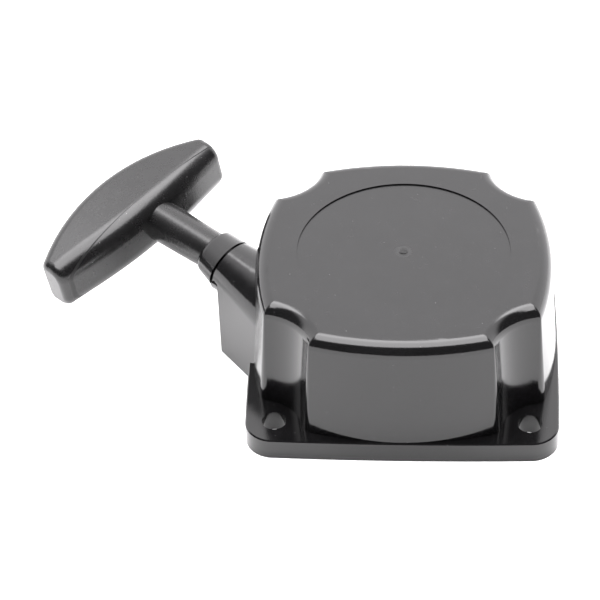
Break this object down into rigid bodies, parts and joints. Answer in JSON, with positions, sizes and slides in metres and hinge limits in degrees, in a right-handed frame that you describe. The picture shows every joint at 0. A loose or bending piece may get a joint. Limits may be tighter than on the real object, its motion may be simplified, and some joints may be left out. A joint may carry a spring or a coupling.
{
  "type": "recoil starter",
  "caption": "Pull starter for a small two-stroke engine: scooped square cover, T-shaped grip on a rope, sprung reel with pawls inside.",
  "frame": {"origin": "crank axis in the mounting face, the middle of the four screw holes", "axes": "+Z out of the engine through the cover's top, +X and +Y square to the flange's sides; the rope leaves towards -X and +Y"},
  "size_m": [0.1299, 0.087, 0.0343],
  "materials": {
    "housing_plastic": "moulded black nylon, satin top and glossy walls",
    "guide_plastic": "moulded black, glossy",
    "grip_plastic": "moulded black, fine grain",
    "reel_plastic": "moulded dark nylon",
    "rope": "braided nylon cord, off-white",
    "spring_steel": "oiled spring strip and wire",
    "pressed_steel": "pressed sheet",
    "pawl_steel": "hardened, dark",
    "zinc_steel": "bright zinc",
    "brass": "turned"
  },
  "bodies": {
    "housing": {"housing": "housing_plastic", "rope_guide": "guide_plastic", "post_insert": "brass", "post_sleeve": "zinc_steel", "centre_screw": "zinc_steel", "screw_washer": "zinc_steel", "friction_spring": "spring_steel", "spring_plate": "zinc_steel", "recoil_spring": "spring_steel"},
    "handle": {"handle_grip": "grip_plastic", "handle_knot": "rope", "rope_lead": "rope"},
    "reel": {"reel": "reel_plastic", "rope_winding": "rope", "reel_knot": "rope", "pawl_spring_a": "spring_steel", "pawl_spring_b": "spring_steel"},
    "ratchet_guide": {"ratchet_guide": "pressed_steel"},
    "pawl_a": {"pawl_a": "pawl_steel"},
    "pawl_b": {"pawl_b": "pawl_steel"}
  },
  "joints": [
    {"name": "handle_pull", "type": "slide", "parent": "housing", "child": "handle", "axis": [-0.7606, 0.6492, 0], "range_m": [0, 0.65], "stiffness_N_per_m": 20, "springref_m": -0.5, "deforming": ["rope_lead"]},
    {"name": "reel_spin", "type": "hinge", "parent": "housing", "child": "reel", "pos_m": [0, 0, 0], "axis": [0, 0, 1], "range_deg": [-1852.9, 1], "deforming": ["recoil_spring"]},
    {"name": "guide_turn", "type": "hinge", "parent": "reel", "child": "ratchet_guide", "pos_m": [0, 0, 0], "axis": [0, 0, 1], "range_deg": [0, 30], "stiffness_Nm_per_rad": 0.01, "springref_deg": -17.19},
    {"name": "pawl_a_swing", "type": "hinge", "parent": "reel", "child": "pawl_a", "pos_m": [0, 0.012, 0], "axis": [0, 0, 1], "range_deg": [0, 28.2], "deforming": ["pawl_spring_a"]},
    {"name": "pawl_b_swing", "type": "hinge", "parent": "reel", "child": "pawl_b", "pos_m": [0, -0.012, 0], "axis": [0, 0, 1], "range_deg": [0, 28.2], "deforming": ["pawl_spring_b"]}
  ],
  "couplings": [
    {"joint": "reel_spin", "follows": "handle_pull", "rad_per_m": -49.7},
    {"joint": "pawl_a_swing", "follows": "guide_turn", "ratio": 0.93333},
    {"joint": "pawl_b_swing", "follows": "guide_turn", "ratio": 0.93333}
  ]
}
